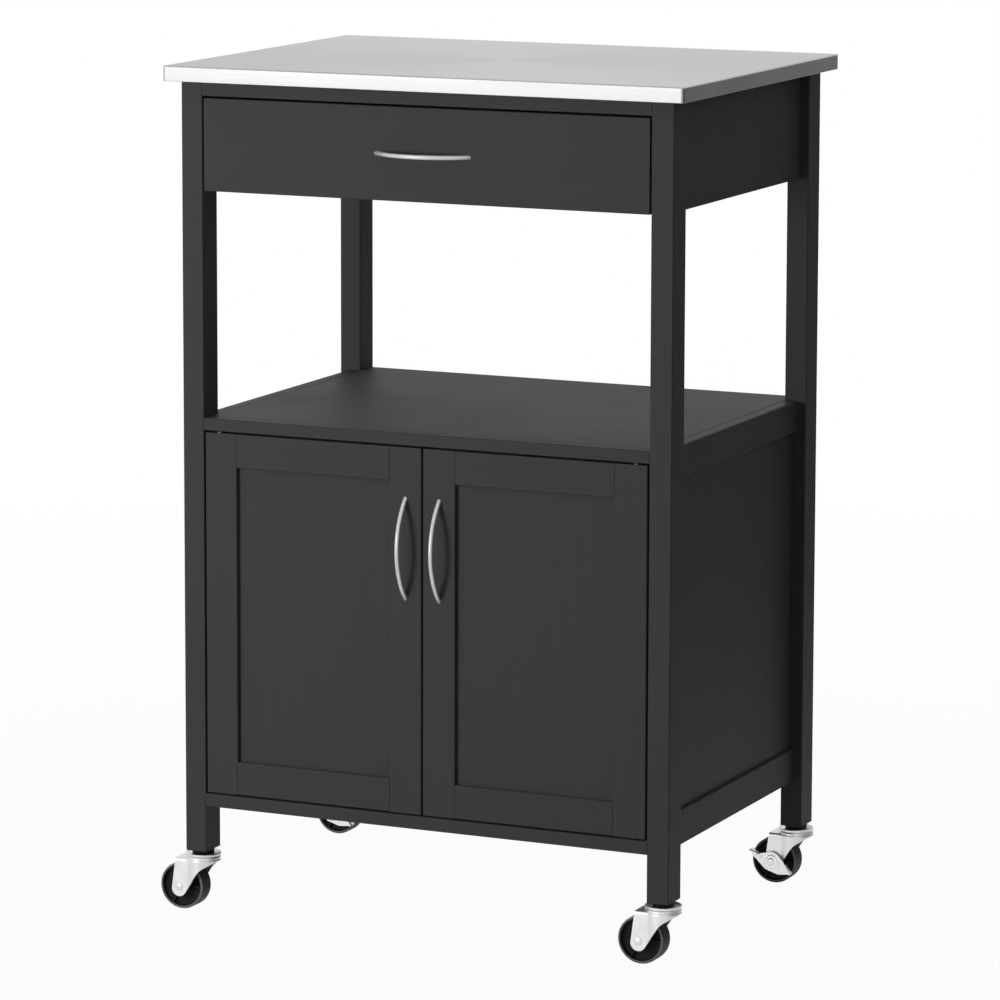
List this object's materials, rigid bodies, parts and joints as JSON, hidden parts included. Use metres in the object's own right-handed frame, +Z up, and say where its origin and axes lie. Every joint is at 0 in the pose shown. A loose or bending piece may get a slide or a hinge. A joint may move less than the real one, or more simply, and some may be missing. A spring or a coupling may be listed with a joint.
{
  "type": "microwave cart",
  "caption": "Rolling kitchen cart with a steel-topped worktop, a drawer, an open bay and a cupboard with framed doors.",
  "frame": {"origin": "on the floor, below the middle of the bounding box", "axes": "+X to the right as seen from the front, +Y from the doors towards the back, +Z up"},
  "size_m": [0.5994, 0.4416, 0.896],
  "materials": {
    "black_paint": "satin black paint on wood",
    "steel_top": "brushed stainless steel sheet",
    "satin_metal": "satin nickel",
    "zinc": "bright zinc plate on pressed steel",
    "runner_zinc": "grey coated sheet steel",
    "black_plastic": "black moulded plastic",
    "nylon": "natural nylon"
  },
  "bodies": {
    "cart_frame": {"worktop_board": "black_paint", "worktop_steel": "steel_top", "leg_front_left": "black_paint", "leg_front_right": "black_paint", "leg_rear_left": "black_paint", "leg_rear_right": "black_paint", "front_top_rail": "black_paint", "front_shelf_rail": "black_paint", "front_bottom_rail": "black_paint", "apron_rear": "black_paint", "apron_left": "black_paint", "apron_right": "black_paint", "side_upper_rail_left": "black_paint", "side_upper_rail_right": "black_paint", "side_lower_rail_left": "black_paint", "side_lower_rail_right": "black_paint", "side_panel_left": "black_paint", "side_panel_right": "black_paint", "shelf_board": "black_paint", "bottom_board": "black_paint", "back_panel": "black_paint", "runner_cabinet_left": "runner_zinc", "runner_cabinet_right": "runner_zinc", "pivot_bushes_and_catch": "black_plastic", "stem_sockets": "black_plastic", "caster_stems": "zinc"},
    "drawer": {"drawer_front": "black_paint", "drawer_side_left": "black_paint", "drawer_side_right": "black_paint", "drawer_back": "black_paint", "drawer_bottom": "black_paint", "drawer_handle": "satin_metal", "runner_drawer_left": "runner_zinc", "runner_drawer_right": "runner_zinc"},
    "front_rollers": {"runner_front_rollers": "nylon"},
    "rear_rollers": {"runner_rear_rollers": "nylon"},
    "door_left": {"door_left_hinge_stile": "black_paint", "door_left_lock_stile": "black_paint", "door_left_top_rail": "black_paint", "door_left_bottom_rail": "black_paint", "door_left_panel": "black_paint", "door_left_handle": "satin_metal", "door_left_pivots_and_strike": "zinc"},
    "door_right": {"door_right_hinge_stile": "black_paint", "door_right_lock_stile": "black_paint", "door_right_top_rail": "black_paint", "door_right_bottom_rail": "black_paint", "door_right_panel": "black_paint", "door_right_handle": "satin_metal", "door_right_pivots_and_strike": "zinc"},
    "fork_front_left": {"caster_fork_front_left": "zinc"},
    "wheel_front_left": {"caster_wheel_front_left": "black_plastic"},
    "fork_front_right": {"caster_fork_front_right": "zinc"},
    "wheel_front_right": {"caster_wheel_front_right": "black_plastic"},
    "fork_rear_left": {"caster_fork_rear_left": "zinc"},
    "wheel_rear_left": {"caster_wheel_rear_left": "black_plastic"},
    "lever_left": {"brake_lever_left": "zinc"},
    "fork_rear_right": {"caster_fork_rear_right": "zinc"},
    "wheel_rear_right": {"caster_wheel_rear_right": "black_plastic"},
    "lever_right": {"brake_lever_right": "zinc"}
  },
  "joints": [
    {"name": "drawer_slide", "type": "slide", "parent": "cart_frame", "child": "drawer", "axis": [0, -1, 0], "range_m": [0, 0.255]},
    {"name": "front_roller_turn", "type": "hinge", "parent": "cart_frame", "child": "front_rollers", "pos_m": [0.0095, -0.17075, 0.7848], "axis": [1, 0, 0], "continuous": true},
    {"name": "rear_roller_turn", "type": "hinge", "parent": "drawer", "child": "rear_rollers", "pos_m": [0.0095, 0.14625, 0.7848], "axis": [1, 0, 0], "continuous": true},
    {"name": "door_left_hinge", "type": "hinge", "parent": "cart_frame", "child": "door_left", "pos_m": [-0.2255, -0.19225, 0.3225], "axis": [0, 0, -1], "range_deg": [0, 105]},
    {"name": "door_right_hinge", "type": "hinge", "parent": "cart_frame", "child": "door_right", "pos_m": [0.2445, -0.19225, 0.3225], "axis": [0, 0, 1], "range_deg": [0, 105]},
    {"name": "swivel_front_left", "type": "hinge", "parent": "cart_frame", "child": "fork_front_left", "pos_m": [-0.2535, -0.18175, 0.0565], "axis": [0, 0, 1], "continuous": true},
    {"name": "wheel_turn_front_left", "type": "hinge", "parent": "fork_front_left", "child": "wheel_front_left", "pos_m": [-0.2745, -0.18175, 0.025], "axis": [0, 1, 0], "continuous": true},
    {"name": "swivel_front_right", "type": "hinge", "parent": "cart_frame", "child": "fork_front_right", "pos_m": [0.2725, -0.18175, 0.0565], "axis": [0, 0, 1], "continuous": true},
    {"name": "wheel_turn_front_right", "type": "hinge", "parent": "fork_front_right", "child": "wheel_front_right", "pos_m": [0.2515, -0.18175, 0.025], "axis": [0, 1, 0], "continuous": true},
    {"name": "swivel_rear_left", "type": "hinge", "parent": "cart_frame", "child": "fork_rear_left", "pos_m": [-0.2535, 0.19125, 0.0565], "axis": [0, 0, 1], "continuous": true},
    {"name": "wheel_turn_rear_left", "type": "hinge", "parent": "fork_rear_left", "child": "wheel_rear_left", "pos_m": [-0.2745, 0.19125, 0.025], "axis": [0, 1, 0], "continuous": true},
    {"name": "brake_lever_left", "type": "hinge", "parent": "fork_rear_left", "child": "lever_left", "pos_m": [-0.2745, 0.19125, 0.025], "axis": [0, -1, 0], "range_deg": [0, 15]},
    {"name": "swivel_rear_right", "type": "hinge", "parent": "cart_frame", "child": "fork_rear_right", "pos_m": [0.2725, 0.19125, 0.0565], "axis": [0, 0, 1], "continuous": true},
    {"name": "wheel_turn_rear_right", "type": "hinge", "parent": "fork_rear_right", "child": "wheel_rear_right", "pos_m": [0.2515, 0.19125, 0.025], "axis": [0, 1, 0], "continuous": true},
    {"name": "brake_lever_right", "type": "hinge", "parent": "fork_rear_right", "child": "lever_right", "pos_m": [0.2515, 0.19125, 0.025], "axis": [0, -1, 0], "range_deg": [0, 15]}
  ],
  "couplings": [
    {"joint": "front_roller_turn", "follows": "drawer_slide", "rad_per_m": 117.65},
    {"joint": "rear_roller_turn", "follows": "drawer_slide", "rad_per_m": 117.65}
  ]
}
